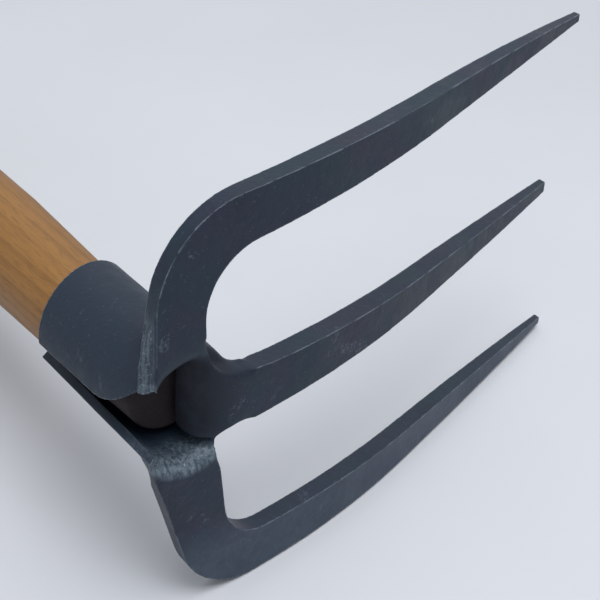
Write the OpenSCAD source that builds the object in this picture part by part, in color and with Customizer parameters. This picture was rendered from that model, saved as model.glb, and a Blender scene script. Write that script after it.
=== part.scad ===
// Three-prong fork hoe: three forged prongs welded round the mouth of a rolled socket on a wooden handle.
// Head axes: the handle runs along -Z, the prongs along +X, and the upper prong lies on the +Y side.
// The whole hoe is then laid on its side, on the lower prong and the butt of the handle.

/* [Handle] */
// Length from the mouth of the socket to the butt
handle_length = 1000; // [500:10:1400]
// Diameter of the plain shaft
handle_d = 42; // [39:0.5:48]
// Clearance between the neck of the handle and the bore of the socket
handle_fit = 0.3; // [0.1:0.05:1]
// Taper of the neck, in millimetres of diameter for each millimetre of length
handle_taper = 0.07; // [0.03:0.01:0.1]
// How deep the front end is whittled down inside the socket
handle_whittle = 3.2; // [1.5:0.1:5]
// How far the front end of the handle stands back from the mouth of the socket
handle_setback = 14; // [9:0.5:20]
// Rounding of the edge at the butt
butt_round = 7; // [2:0.5:12]

/* [Socket] */
// Outside diameter of the rolled socket
socket_d = 45; // [44.5:0.5:54]
// Thickness of the rolled sheet
sheet = 3.5; // [2.5:0.1:3.5]
// Length of the socket on the side of the centre prong
socket_length = 79; // [65:1:100]
// Length of the upper wing at the open seam
upper_wing_length = 68; // [50:1:79]
// Length of the lower wing at the open seam
lower_wing_length = 73; // [50:1:79]
// Height of the upper wing's free edge above the handle's middle
upper_wing_edge = -0.2; // [-2:0.2:3]
// Direction of the lower wing's free edge, in degrees round the socket from the centre prong
lower_wing_angle = 213; // [205:1:216]
// Length of the upper wing's corner that sweeps up to the arm
wing_sweep = 30; // [15:1:40]
// Height of that corner
wing_rise = 16; // [10:1:17]
// Rounding of the inner edge of the mouth
lip_r = 2.5; // [1:0.5:3]

/* [Prongs] */
// Thickness of the bar at the socket
root_thickness = 6.8; // [5:0.1:9]
// Thickness of the bar half way along the prong
mid_thickness = 7.9; // [5:0.1:9]
// Thickness of the bar at the tip
tip_thickness = 3.4; // [2:0.1:5]
// How far the prongs lean towards the handle where they leave the socket, in degrees
root_lean = 5; // [2:0.5:8]
// How far they lean towards the handle at the tip, in degrees
tip_lean = 20; // [12:0.5:28]
// Radius of the bend between the two
bend_radius = 480; // [300:10:700]
// How far the fork sits below the middle of the socket
fork_drop = 2; // [0:0.5:3]
// Distance of the upper arm's inner edge in front of the handle's middle
arm_front = 7; // [5:0.5:9]

/* [Upper prong] */
// Length of the upper prong from the handle's middle
upper_length = 244; // [200:1:290]
// Spacing of the upper prong from the fork's middle, at the arm
upper_spacing = 71; // [60:1:86]
// Outward splay of the upper prong, in degrees
upper_splay = 4.3; // [0:0.1:6]
// Inward sweep of the upper prong over its length
upper_sweep = 11; // [0:0.5:16]
// Radius of the outer corner of the upper prong
upper_outer_r = 37; // [30:1:42]
// Radius of the inner corner of the upper prong
upper_inner_r = 24; // [16:1:28]
// Distance of the upper arm's back edge behind the handle's middle
upper_arm_back = 23.8; // [21:0.1:26]
// Lean of the back edge of the upper arm, in degrees
upper_back_lean = 9.4; // [0:0.1:14]
// Lean of the inner edge of the upper arm, in degrees
upper_front_lean = -3.4; // [-5:0.1:2]
// Where the slanting cut on the back edge of the upper arm meets its face, behind the handle's middle
upper_slant_x = 16.5; // [14:0.5:22]
// Slant of that cut, in degrees
upper_slant = 33; // [0:1:40]

/* [Lower prong] */
// Length of the lower prong from the handle's middle
lower_length = 252; // [200:1:300]
// Spacing of the lower prong from the fork's middle, at the arm
lower_spacing = 73.3; // [62:0.1:88]
// Outward splay of the lower prong, in degrees
lower_splay = 1.9; // [0:0.1:6]
// Inward sweep of the lower prong over its length
lower_sweep = 0; // [0:0.5:16]
// Radius of the outer corner of the lower prong
lower_outer_r = 36; // [30:1:42]
// Radius of the inner corner of the lower prong
lower_inner_r = 22; // [16:1:28]
// Distance of the lower arm's back edge behind the handle's middle
lower_arm_back = 21.8; // [20:0.1:24]
// Lean of the back edge of the lower arm, in degrees
lower_back_lean = 17; // [0:0.5:20]
// Distance of the lower arm's inner edge in front of the handle's middle
lower_arm_front = 8.9; // [7:0.1:10]
// Lean of the inner edge of the lower arm, in degrees
lower_front_lean = 8; // [0:0.5:10]

/* [Prong widths] */
// Width of an outer prong at the arm
outer_root_width = 20.4; // [16:0.1:24]
// Width of an outer prong half way along
outer_mid_width = 14.9; // [11:0.1:18]
// Width of an outer prong at the tip
outer_tip_width = 3.4; // [2.5:0.1:6]
// Width of the centre prong at the root, clear of the flare
centre_root_width = 22.3; // [18:0.1:26]
// Width of the centre prong half way along
centre_mid_width = 14; // [11:0.1:18]
// Width of the centre prong at the tip
centre_tip_width = 5; // [3:0.1:7]

/* [Centre prong] */
// Length of the centre prong from the handle's middle
centre_length = 234; // [190:1:280]
// Extra thickness of the centre prong against the outer ones
centre_stoutness = 1.12; // [1:0.01:1.2]
// How far the upper side of the root flares out towards the upper arm
flare = 4.3; // [0:0.1:6]
// Length of the flare
flare_length = 35; // [20:1:45]
// Where the rolled inner end of the root stops, in front of the handle's middle
root_start = 1; // [0:0.5:4]
// Radius of the hollow between the root and the upper arm
web_r = 13; // [8:0.5:16]
// How far the lower side of the root reaches down to the edge of the mouth
heel = 1.3; // [0:0.1:1.5]

/* [Welds] */
// Width of the groove that is filled at the end of each arm
groove = 2; // [1.4:0.2:3]
// Height of the upper weld above the face of the arm, where it was dressed flat
upper_crown = 0.4; // [0.3:0.1:2]
// Height of the lower weld above the face of the arm
lower_crown = 1; // [0.3:0.1:2]
// Leg of the weld fillets behind the arms
fillet_leg = 5; // [3:0.5:7]

/* [Lying pose] */
// Distance along the lower prong of the point that rests on the floor
touch_x = 50; // [40:1:90]

/* [Hidden] */

$fn = 96;
// Gap that a weld bridges between two pieces
fit_gap = 0.3;
// Steps along the straight taper of a prong, round an arc and along the bend
taper_steps = 12;
arc_steps = 14;
bend_steps = 18;
// Steps round a small rounding
round_steps = 8;
// A length that reaches right through any piece of the head
through = 400;
// Height, from the handle's middle, at which the foot of each arm is cut
upper_foot = 14;
lower_foot = 11;
// Half of the seam between the two wings, and the depth of the cut that opens it
seam_half = 4;
seam_depth = 8;
// Small cut-back at the rear end of the upper wing's free edge, along and across it
wing_corner = [3, 2];
// Lower edge of the centre prong's root: length of the heel, of its run-out, and its rounding
heel_length = 10;
heel_run = 4;
heel_r = 3;
// Rounding of the handle's front end
nose_round = 1.5;
// How far a weld laps over the bars beside its groove, and how deep it sinks into the joint
weld_lap = 1.2;
weld_sink = 0.5;

steel = [0.17, 0.19, 0.23];
weld_steel = [0.22, 0.24, 0.27];
wood = [0.62, 0.46, 0.25];

socket_r = socket_d / 2;
bore_r = socket_r - sheet;
cope_r = socket_r + fit_gap;
neck_r = bore_r - handle_fit;
nose_r = neck_r - handle_whittle;
shaft_r = handle_d / 2;
upper_width = [outer_root_width, outer_mid_width, outer_tip_width];
centre_width = [centre_root_width, centre_mid_width, centre_tip_width];
centre_thickness = root_thickness * centre_stoutness;
upper_line = [upper_spacing, upper_splay, upper_sweep, upper_length];
lower_line = [lower_spacing, lower_splay, lower_sweep, lower_length];

function clamp01(u) = min(1, max(0, u));
function reversed(list) = [for (i = [len(list) - 1:-1:0]) list[i]];

// Points of an arc round the centre c, from one direction to another
function arc(c, r, from, to, steps = round_steps) =
    [for (i = [0:steps]) let (a = from + (to - from) * i / steps) [c[0] + r * cos(a), c[1] + r * sin(a)]];

// Value at u, from 0 to 1, of the curve from v[0] through v[1] half way to v[2]
function through_three(v, u) =
    let (pull = 2 * v[1] - (v[0] + v[2]) / 2)
    (1 - u) * (1 - u) * v[0] + 2 * u * (1 - u) * pull + u * u * v[2];

// Side view of the fork: height of the bar's middle, and its lean, at the distance x
bend_end = bend_radius * (sin(tip_lean) - sin(root_lean));
bend_fall = bend_radius * (cos(root_lean) - cos(tip_lean));
function lean_at(x) =
    x <= 0 ? root_lean : x >= bend_end ? tip_lean : asin(sin(root_lean) + x / bend_radius);
function middle_z(x) =
    x <= 0 ? -x * tan(root_lean)
    : x >= bend_end ? -bend_fall - (x - bend_end) * tan(tip_lean)
    : -bend_radius * (cos(root_lean) - cos(lean_at(x)));
function thickness_at(x, stout, length) =
    stout * through_three([root_thickness, mid_thickness, tip_thickness], clamp01(x / length));

// Point on the front face (side 1) or the back face (side -1) of the bar
function face_point(x, side, stout, length) =
    let (a = lean_at(x), h = side * thickness_at(x, stout, length) / 2)
    [x + h * sin(a), middle_z(x) + h * cos(a)];

// Stations along the bar: one behind the bend, the bend itself, then the long taper
function stations(length) = concat(
    [-2 * socket_r],
    [for (i = [0:bend_steps]) bend_end * i / bend_steps],
    [for (i = [1:taper_steps]) bend_end + (length + 10 - bend_end) * i / taper_steps]);
function face(side, stout, length, from) =
    [for (x = stations(length)) if (x > from) face_point(x, side, stout, length)];

// Plan view of an outer prong: edge of the prong at x, on the outer (1) or the inner (-1) side
function edge_y(line, x, side) =
    let (u = clamp01(x / line[3]))
    line[0] + x * tan(line[1]) - line[2] * u * u + side * through_three(upper_width, u) / 2;
function edge_slope(line, x, side) = (edge_y(line, x + 1, side) - edge_y(line, x - 1, side)) / 2;

// Circle that touches the arm's edge, which starts at x = foot and leans, and the prong's edge.
// Returns its centre and the x of the point where it touches the prong.
function corner(foot, lean, r, line, side, x, passes = 4) =
    let (m = edge_slope(line, x, side), k = sqrt(1 + m * m), reach = foot + r / cos(lean),
         cy = (edge_y(line, x, side) + m * (reach - x) - r * k) / (1 - m * tan(lean)),
         cx = reach + cy * tan(lean), touch = cx - r * m / k)
    passes == 0 ? [cx, cy, touch] : corner(foot, lean, r, line, side, touch, passes - 1);

// One edge of an arm and its prong, from the foot at height y0 to the tip
function prong_edge(foot, lean, r, line, side, y0) =
    let (c = corner(foot, lean, r, line, side, foot + r))
    concat(
        [[foot + y0 * tan(lean), y0]],
        arc(c, r, 180 - lean, 90 + atan(edge_slope(line, c[2], side)), arc_steps),
        [for (i = [1:taper_steps])
            let (x = c[2] + (line[3] - c[2]) * i / taper_steps)
            [x, edge_y(line, x, side)]]);

// Half width of the centre prong without its flare, and the flare at the upper side of the root
function centre_half(x) =
    through_three(centre_width, clamp01((x - arm_front) / (centre_length - arm_front))) / 2;
function flare_at(x) = let (d = clamp01(1 - (x - arm_front) / flare_length)) flare * d * d;

// Direction round the socket, from the centre prong, in which an arm's leaning edge meets its wall
function seat_direction(foot, lean, drop, a = 90, passes = 12) =
    passes == 0 ? a
    : seat_direction(foot, lean, drop, acos((foot + (cope_r * sin(a) + drop) * tan(lean)) / cope_r), passes - 1);
upper_front_seat = seat_direction(arm_front, upper_front_lean, fork_drop);
upper_back_seat = acos(-upper_slant_x / cope_r);
lower_front_seat = seat_direction(lower_arm_front, lower_front_lean, -fork_drop);
lower_back_seat = seat_direction(-lower_arm_back, lower_back_lean, -fork_drop);
root_low_seat = asin((centre_half(arm_front) + fork_drop) / cope_r);
root_high_seat = asin((centre_half(arm_front) - fork_drop) / cope_r);

// Moves its children to the face of the arms (side 1) or to their back (side -1), on the handle's line
module on_fork(side) {
    translate([0, 0, side * root_thickness / 2 / cos(root_lean)]) rotate([0, root_lean, 0]) children();
}

// Bent and tapered bar: the side view, cut out by the plan given as children
module forged_bar(profile, drop = fork_drop) {
    intersection() {
        translate([0, -drop, -through / 2]) linear_extrude(through) children();
        translate([0, through / 2, 0]) rotate([90, 0, 0]) linear_extrude(through) polygon(profile);
    }
}

// Space of the socket, which the end of each arm is coped to, with the groove for the weld
module cope() {
    cylinder(h = through, r = cope_r, center = true);
    on_fork(1) translate([0, 0, -groove]) cylinder(h = 2 * groove, r1 = cope_r, r2 = cope_r + 2 * groove);
}

module outer_prong(line, back, back_lean, outer_r, front, front_lean, inner_r, drop, foot) {
    profile = concat(face(1, 1, line[3], -through), reversed(face(-1, 1, line[3], -through)));
    difference() {
        forged_bar(profile, drop)
            polygon(concat(
                prong_edge(back, back_lean, outer_r, line, 1, foot + drop),
                reversed(prong_edge(front, front_lean, inner_r, line, -1, foot + drop))));
        cope();
    }
}

module upper_prong_solid() {
    difference() {
        outer_prong(upper_line, -upper_arm_back, upper_back_lean, upper_outer_r,
            arm_front, upper_front_lean, upper_inner_r, fork_drop, upper_foot);
        // Slanting cut on the back edge, which runs out where the edge leans in to meet it
        translate([-upper_slant_x, 0, root_thickness / 2]) rotate([0, upper_slant, 0])
            translate([-socket_r, 0, -socket_r]) cube([socket_r, upper_spacing, socket_d]);
    }
}

// The lower prong is the same kind of bar, turned over to the other side of the fork
module lower_prong_solid() {
    mirror([0, 1, 0])
        outer_prong(lower_line, -lower_arm_back, lower_back_lean, lower_outer_r,
            lower_arm_front, lower_front_lean, lower_inner_r, -fork_drop, lower_foot);
}

// Side view of the centre prong, whose inner end is rolled over into the mouth
function centre_profile() =
    let (nose = centre_thickness * 0.8, roll_x = root_start + nose,
         top = face_point(roll_x, 1, centre_stoutness, centre_length)[1],
         under = face_point(roll_x, -1, centre_stoutness, centre_length)[1])
    concat(
        [[root_start, under]],
        arc([roll_x, top - nose], nose, 180, 90),
        face(1, centre_stoutness, centre_length, roll_x + 1),
        reversed(face(-1, centre_stoutness, centre_length, roll_x + 1)));

// Plan of the centre prong, with the web that fills the corner to the upper arm
module centre_plan() {
    xs = [for (i = [0:20]) arm_front + web_r + (centre_length - arm_front - web_r) * pow(i / 20, 1.4)];
    inner_x = arm_front + fit_gap;
    web = [inner_x + web_r, centre_half(xs[0]) + flare_at(xs[0]) + web_r];
    heel_x = root_start + heel_length;
    low = -centre_half(arm_front);
    difference() {
        polygon(concat(
            [[root_start, cope_r + fork_drop], [inner_x, cope_r + fork_drop], [inner_x, web[1]]],
            arc(web, web_r, 180, 270),
            [for (x = xs) [x, centre_half(x) + flare_at(x)]],
            reversed([for (x = xs) [x, -centre_half(x)]]),
            [[heel_x + heel_run, low], [heel_x, low - heel]],
            arc([root_start + heel_r, low - heel + heel_r], heel_r, 270, 180)));
        // Clear of the upper arm, which is coped to the same circle
        intersection() {
            translate([0, fork_drop]) difference() {
                circle(r = 2 * cope_r);
                circle(r = cope_r - fit_gap);
            }
            translate([-1, cope_r / 2]) square([inner_x + 1, through]);
        }
    }
}

module centre_prong_solid() {
    forged_bar(centre_profile()) centre_plan();
}

// Space for the root of the centre prong, which lies across the front edge of the socket
module root_seat() {
    low = -centre_half(arm_front) - heel - fork_drop - fit_gap;
    under = thickness_at(socket_r, centre_stoutness, centre_length) / 2
        + socket_r * socket_r / (2 * bend_radius) + fit_gap;
    start = root_start - 2 * fit_gap;
    edge = lower_arm_front - (low + fork_drop) * tan(lower_front_lean);
    rotate([0, root_lean, 0]) translate([0, 0, -under]) linear_extrude(3 * root_thickness)
        polygon([[start, low], [edge, low], [edge + socket_r * tan(lower_front_lean), low - socket_r],
                 [2 * socket_r, low - socket_r], [2 * socket_r, 2 * socket_r], [start, 2 * socket_r]]);
}

// Space inside the mouth, which opens out in a rounded lip
module mouth() {
    on_fork(1) rotate_extrude() polygon(concat(
        [[0, -lip_r - 1], [bore_r, -lip_r - 1]],
        arc([bore_r + lip_r, -lip_r], lip_r, 180, 90),
        [[bore_r + lip_r, 1], [0, 1]]));
}

// What is cut from the upper wing at the seam, drawn with x along the socket and y as the height
module wing_cut() {
    low = upper_wing_edge - seam_depth;
    bend = [[-wing_sweep, upper_wing_edge], [-wing_sweep / 2, upper_wing_edge], [-1, wing_rise]];
    polygon(concat(
        [[-through, low], [socket_r, low], [socket_r, wing_rise]],
        [for (i = [round_steps:-1:0]) let (u = i / round_steps)
            (1 - u) * (1 - u) * bend[0] + 2 * u * (1 - u) * bend[1] + u * u * bend[2]],
        [[-upper_wing_length, upper_wing_edge] - wing_corner, [-through, upper_wing_edge - wing_corner[1]]]));
}

// Skewed rear end of a wing above the given height. It pivots on the side of the centre prong.
module rear_cut(wing_length, above) {
    skew = atan((socket_length - wing_length) / socket_d);
    translate([socket_r, above, -socket_length]) rotate([0, skew, 0])
        translate([-through, 0, -through]) cube([through + sheet, through, through]);
}

module socket_solid() {
    open_seam = 9;
    difference() {
        translate([0, 0, -socket_length])
            cylinder(h = socket_length + 3 * root_thickness, r = socket_r);
        translate([0, 0, -through / 2]) cylinder(h = through, r = bore_r);
        // Front end, cut flush with the face of the arms
        on_fork(1) translate([-through / 2, -through / 2, 0]) cube(through);
        // Open seam on the side away from the centre prong
        translate([-bore_r / 2, 0, 0]) rotate([0, -90, 0]) linear_extrude(socket_r) wing_cut();
        rotate([0, 0, lower_wing_angle]) translate([0, -open_seam, -through / 2])
            cube([2 * socket_r, open_seam, through]);
        rear_cut(upper_wing_length, upper_wing_edge - seam_half);
        mirror([0, 1, 0]) rear_cut(lower_wing_length, seam_half - upper_wing_edge);
        mouth();
        root_seat();
    }
}

// Weld section swept round the socket, from one direction to another
module swept(from, to, section) {
    rotate([0, 0, from]) rotate_extrude(angle = to - from) polygon(section);
}

// Filled groove in front of the joint between an arm and the socket
module groove_weld(from, to, crown) {
    middle = socket_r + groove / 2;
    spread = groove / 2 + weld_lap;
    on_fork(1) swept(from, to, concat(
        [[socket_r - weld_sink, -groove - weld_sink], [middle - spread, -weld_sink]],
        arc([middle, 0], spread, 180, 0) * [[1, 0], [0, crown / spread]],
        [[cope_r + weld_sink, -groove - weld_sink]]));
}

// Fillet behind the fork, between its back and the wall of the socket
module fillet_weld(from, to, below = 0) {
    hollow = fillet_leg * 0.45;
    on_fork(-1) swept(from, to,
        [[socket_r - weld_sink, weld_sink], [socket_r + fillet_leg, weld_sink], [socket_r + fillet_leg, -below],
         [socket_r + hollow, -below - fillet_leg + hollow],
         [socket_r, -below - fillet_leg], [socket_r - weld_sink, -below - fillet_leg]]);
}

module handle() {
    neck_end = -socket_length - abs(shaft_r - neck_r) * 2 / handle_taper;
    color(wood) rotate_extrude()
        polygon(concat(
            [[0, -handle_setback]],
            arc([nose_r - nose_round, -handle_setback - nose_round], nose_round, 90, 0),
            [[neck_r, -socket_length], [shaft_r, neck_end]],
            arc([shaft_r - butt_round, butt_round - handle_length], butt_round, 0, -90),
            [[0, -handle_length]]));
}

module socket() {
    color(steel) socket_solid();
}

module centre_prong() {
    color(steel) centre_prong_solid();
}

module upper_prong() {
    color(steel) upper_prong_solid();
}

module lower_prong() {
    color(steel) lower_prong_solid();
}

module upper_weld() {
    color(weld_steel) difference() {
        groove_weld(upper_front_seat - 2, upper_back_seat - 2, upper_crown);
        upper_prong_solid();
        centre_prong_solid();
        socket_solid();
    }
}

module upper_fillet() {
    color(weld_steel) difference() {
        fillet_weld(upper_front_seat + 4, upper_back_seat - 6);
        upper_prong_solid();
        centre_prong_solid();
        socket_solid();
    }
}

module lower_weld() {
    color(weld_steel) difference() {
        groove_weld(6 - lower_back_seat, -lower_front_seat - 4, lower_crown);
        lower_prong_solid();
        socket_solid();
    }
}

module lower_fillet() {
    color(weld_steel) difference() {
        fillet_weld(20 - lower_back_seat, -lower_front_seat - 6);
        lower_prong_solid();
        socket_solid();
    }
}

module centre_fillet() {
    color(weld_steel) difference() {
        fillet_weld(7 - root_low_seat, root_high_seat, (centre_thickness - root_thickness) / 2 + fit_gap);
        centre_prong_solid();
        socket_solid();
    }
}

// Lying pose: the lower prong's outer edge is level where it touches the floor, and the butt touches too
touch_y = -edge_y(lower_line, touch_x, 1) - fork_drop;
touch_z = face_point(touch_x, -1, 1, lower_length)[1];
shaft_end = handle_length - butt_round;
rough_tilt = atan((-shaft_r - touch_y) / (shaft_end + touch_z));
level = atan(edge_slope(lower_line, touch_x, 1) + tan(lean_at(touch_x)) * tan(rough_tilt));
touch_point = [touch_x * sin(level) + touch_y * cos(level), touch_z];
tilt = atan((-shaft_r - touch_point[0]) / (shaft_end + touch_z));
floor_drop = touch_point[0] * cos(tilt) + touch_point[1] * sin(tilt);
// Middle of the hoe's extent along the prongs and along the handle
middle_x = (lower_length * cos(level) - socket_r) / 2;
middle_y = (handle_length * cos(tilt) - root_thickness - 2) / 2;

module lying() {
    translate([-middle_x, -middle_y, -floor_drop]) rotate([90 - tilt, 0, 0]) rotate([0, 0, level]) children();
}

lying() handle();
lying() socket();
lying() centre_prong();
lying() upper_prong();
lying() lower_prong();
lying() upper_weld();
lying() lower_weld();
lying() upper_fillet();
lying() lower_fillet();
lying() centre_fillet();
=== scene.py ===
"""Looks of a three-prong fork hoe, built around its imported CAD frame.

The hoe lies on its side on a pale floor. One even skin of small faces is laid over all the steel
solids of the CAD model, so that the paint runs over their joints. The skin is rolled over and blended
round the socket's mouth and gets the dents of the hammer, the crests of the welds and the marks of a
file. Then it is parted into the steel pieces. The wooden handle is turned anew from its sizes.
"""

import logging
import math
from collections.abc import Sequence
from dataclasses import dataclass
from enum import Enum

import bmesh
import bpy
import numpy as np
from mathutils import Matrix, Vector, noise
from mathutils.kdtree import KDTree


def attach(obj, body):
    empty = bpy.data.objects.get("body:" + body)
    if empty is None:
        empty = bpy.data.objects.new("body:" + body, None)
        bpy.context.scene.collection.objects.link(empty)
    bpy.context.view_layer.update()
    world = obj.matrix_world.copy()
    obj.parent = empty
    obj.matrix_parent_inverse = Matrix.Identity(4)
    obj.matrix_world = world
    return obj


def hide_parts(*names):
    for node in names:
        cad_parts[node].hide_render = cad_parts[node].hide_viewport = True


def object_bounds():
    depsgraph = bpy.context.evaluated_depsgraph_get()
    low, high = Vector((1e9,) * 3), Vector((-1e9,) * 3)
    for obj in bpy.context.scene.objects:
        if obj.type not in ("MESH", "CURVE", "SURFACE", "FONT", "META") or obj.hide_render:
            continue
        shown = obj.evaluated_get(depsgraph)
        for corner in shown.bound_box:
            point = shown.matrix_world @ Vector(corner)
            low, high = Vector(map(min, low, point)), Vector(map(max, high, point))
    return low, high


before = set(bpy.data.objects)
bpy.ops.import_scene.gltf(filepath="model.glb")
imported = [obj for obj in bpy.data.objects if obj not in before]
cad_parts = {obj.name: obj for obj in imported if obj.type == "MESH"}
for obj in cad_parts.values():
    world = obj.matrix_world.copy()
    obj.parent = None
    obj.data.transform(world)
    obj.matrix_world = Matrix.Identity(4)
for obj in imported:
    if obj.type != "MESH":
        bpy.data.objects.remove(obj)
CAD_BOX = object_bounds()

LOG = logging.getLogger("fork_hoe")
EDGE_MARK = "rubbed_edge"
TORN_AND_LIT_MARK = "torn_and_lit_metal"
SHADE_MARK = "hollow_shade"
LIT_LOWER_MARK = "lit_lower_faces"
MM = 0.001

# Lean of the fork's face towards the tips, in degrees
LEAN_DEG = 5.0

Triple = tuple[float, float, float]
Span = tuple[tuple[float, float], tuple[float, float]]


class Slot(Enum):
    """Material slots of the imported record."""

    WOOD = "handle_wood"
    STEEL = "forged_steel"
    WELD = "weld_metal"


@dataclass(frozen=True)
class HeadAxes:
    """Axes of the hoe's head as the CAD model has them, placed in the scene.

    In them the handle runs along -Z, the prongs along +X and the upper prong lies at +Y.
    """

    x: Triple = (0.99964133, 0.00174308, 0.02672401)
    y: Triple = (-0.02678079, 0.06506368, 0.99752168)
    z: Triple = (0.0, -0.99787959, 0.06508703)
    origin_mm: Triple = (-114.705, -494.54, 85.5868)

    def turn(self) -> Matrix:
        """Returns the rotation from the head's axes to the scene's."""
        return Matrix((self.x, self.y, self.z)).transposed()

    def to_scene(self) -> Matrix:
        """Returns the matrix from millimetres on the head to metres in the scene."""
        shift = Matrix.Translation(Vector(self.origin_mm) * MM)
        return shift @ self.turn().to_4x4() @ Matrix.Scale(MM, 4)


HEAD = HeadAxes()


def new_object(name: str, mesh: bpy.types.ID) -> bpy.types.Object:
    """Links a new object into the scene.

    Args:
        name: Name of the object.
        mesh: Its data, a mesh, a lamp or a camera.

    Returns:
        The object.
    """
    obj = bpy.data.objects.new(name, mesh)
    bpy.context.scene.collection.objects.link(obj)
    return obj


def positions(mesh: bpy.types.Mesh) -> np.ndarray:
    """Reads the places of a mesh's vertices.

    Args:
        mesh: The mesh.

    Returns:
        One row for each vertex.
    """
    flat = np.zeros(len(mesh.vertices) * 3, np.float32)
    mesh.vertices.foreach_get("co", flat)
    return flat.reshape(-1, 3).astype(float)


def set_positions(mesh: bpy.types.Mesh, points: np.ndarray) -> None:
    """Moves a mesh's vertices to the given rows."""
    mesh.vertices.foreach_set("co", points.astype(np.float32).ravel())
    mesh.update()


def normals(mesh: bpy.types.Mesh) -> np.ndarray:
    """Reads the normals of a mesh's vertices.

    Args:
        mesh: The mesh.

    Returns:
        One row for each vertex.
    """
    flat = np.zeros(len(mesh.vertices) * 3, np.float32)
    mesh.vertices.foreach_get("normal", flat)
    return flat.reshape(-1, 3).astype(float)


def perlin(points: np.ndarray, size: Sequence[float], seed: float) -> np.ndarray:
    """Returns noise from about -1 to 1 at each point, in lumps of a size along each axis, shifted by a seed."""
    rows = points / np.asarray(size, float) + seed
    return np.array([noise.noise(Vector(row)) for row in rows])


class Neighbours:
    """Which vertices of a mesh share an edge, for smoothing over the skin."""

    def __init__(self, mesh: bpy.types.Mesh, kept: np.ndarray | None = None) -> None:
        """Reads the edges of a mesh.

        Args:
            mesh: The mesh.
            kept: Which vertices count. Without it all do, and with it only the edges between two of them.
        """
        flat = np.zeros(len(mesh.edges) * 2, np.int32)
        mesh.edges.foreach_get("vertices", flat)
        pairs = flat.reshape(-1, 2)
        if kept is not None:
            pairs = pairs[kept[pairs].all(axis=1)]
        self.a, self.b = pairs.T
        self.count = len(mesh.vertices)
        both = np.concatenate([self.a, self.b])
        self.degree = np.maximum(np.bincount(both, minlength=self.count), 1)

    def mean(self, values: np.ndarray) -> np.ndarray:
        """Averages over each vertex's neighbours.

        Args:
            values: A value or a row for each vertex.

        Returns:
            The mean of its neighbours' values for each vertex.
        """
        if values.ndim == 1:
            total = np.bincount(self.a, values[self.b], self.count)
            total += np.bincount(self.b, values[self.a], self.count)
            return total / self.degree
        return np.stack([self.mean(column) for column in values.T], axis=1)


# Shader node groups and materials


class Sheet:
    """A node tree being written, with short ways to add and join nodes."""

    def __init__(self, tree: bpy.types.NodeTree) -> None:
        """Takes the tree that the nodes go into."""
        self.tree = tree

    def add(self, kind: str, **settings: object) -> bpy.types.Node:
        """Adds a node.

        Args:
            kind: Blender's name for the node, without its ShaderNode.
            settings: Properties to set on it.

        Returns:
            The node.
        """
        node = self.tree.nodes.new("ShaderNode" + kind)
        for name, value in settings.items():
            setattr(node, name, value)
        return node

    def join(self, source: bpy.types.NodeSocket, target: bpy.types.NodeSocket) -> None:
        """Links an output to an input."""
        self.tree.links.new(source, target)

    def feed(self, target: bpy.types.NodeSocket, value: object) -> None:
        """Links an input to an output, or sets it to a plain value.

        Args:
            target: The input.
            value: The output or the value.
        """
        if isinstance(value, bpy.types.NodeSocket):
            self.join(value, target)
        else:
            target.default_value = value

    def math(self, operation: str, first: object, second: object = 0.0,
             clamp: bool = False) -> bpy.types.NodeSocket:
        """Adds a Math node.

        Args:
            operation: What it does.
            first: Its first value.
            second: Its second value.
            clamp: Whether the result stays between 0 and 1.

        Returns:
            The result.
        """
        node = self.add("Math", operation=operation, use_clamp=clamp)
        self.feed(node.inputs[0], first)
        self.feed(node.inputs[1], second)
        return node.outputs[0]

    def ramp(self, value: object, low: object, high: object,
             to_low: float = 0.0, to_high: float = 1.0) -> bpy.types.NodeSocket:
        """Carries a value smoothly from one range to another.

        Args:
            value: The value.
            low: Lower end of its range.
            high: Upper end of its range.
            to_low: What the lower end becomes.
            to_high: What the upper end becomes.

        Returns:
            The new value.
        """
        node = self.add("MapRange", interpolation_type="SMOOTHSTEP")
        labels = ("Value", "From Min", "From Max", "To Min", "To Max")
        for label, item in zip(labels, (value, low, high, to_low, to_high)):
            self.feed(node.inputs[label], item)
        return node.outputs["Result"]

    def stretch(self, vector: object, by: Triple) -> bpy.types.NodeSocket:
        """Multiplies a vector by another.

        Args:
            vector: The vector.
            by: The other one.

        Returns:
            The product.
        """
        node = self.add("VectorMath", operation="MULTIPLY")
        self.feed(node.inputs[0], vector)
        self.feed(node.inputs[1], by)
        return node.outputs[0]

    def blend(self, share: object, below: object, above: object) -> bpy.types.NodeSocket:
        """Lays one colour over another.

        Args:
            share: How much the upper one covers, from 0 to 1.
            below: The lower colour.
            above: The upper colour.

        Returns:
            The blended colour.
        """
        node = self.add("Mix", data_type="RGBA", blend_type="MIX")
        self.feed(node.inputs[0], share)
        self.feed(node.inputs[6], below)
        self.feed(node.inputs[7], above)
        return node.outputs[2]

    def noise(self, vector: object, scale: object, detail: float = 2.0,
              rough: float = 0.5) -> bpy.types.NodeSocket:
        """Adds a Noise Texture.

        Args:
            vector: The coordinates that it reads.
            scale: Lumps to the metre, roughly.
            detail: How many finer layers lie on it.
            rough: How strong those are.

        Returns:
            Its value.
        """
        node = self.add("TexNoise")
        self.feed(node.inputs["Vector"], vector)
        self.feed(node.inputs["Scale"], scale)
        node.inputs["Detail"].default_value = detail
        node.inputs["Roughness"].default_value = rough
        return node.outputs[0]


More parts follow.
